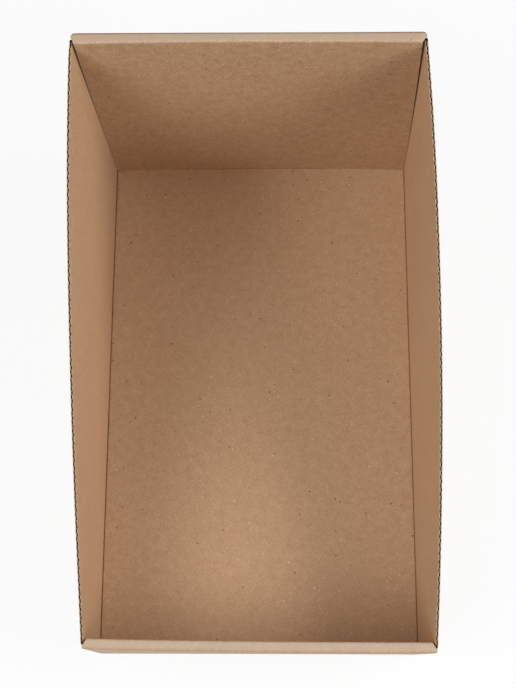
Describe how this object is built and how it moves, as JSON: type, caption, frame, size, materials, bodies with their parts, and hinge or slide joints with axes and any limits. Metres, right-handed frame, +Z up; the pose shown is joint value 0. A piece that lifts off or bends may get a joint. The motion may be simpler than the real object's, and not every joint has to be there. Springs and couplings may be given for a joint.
{
  "type": "cardboard storage box",
  "caption": "Open bin folded from one sheet of corrugated board: tall back, low front, sloping raw-edged sides and rolled double end walls, for storing and picking goods",
  "frame": {"origin": "centre of the base's underside, on the surface that it stands on", "axes": "+Z up, +Y to the tall back wall, +X to the right seen from the low front"},
  "size_m": [0.2831, 0.446, 0.238],
  "materials": {
    "kraft_board": "matte brown kraft liner"
  },
  "bodies": {
    "root": {"folded_box": "kraft_board"}
  },
  "joints": []
}
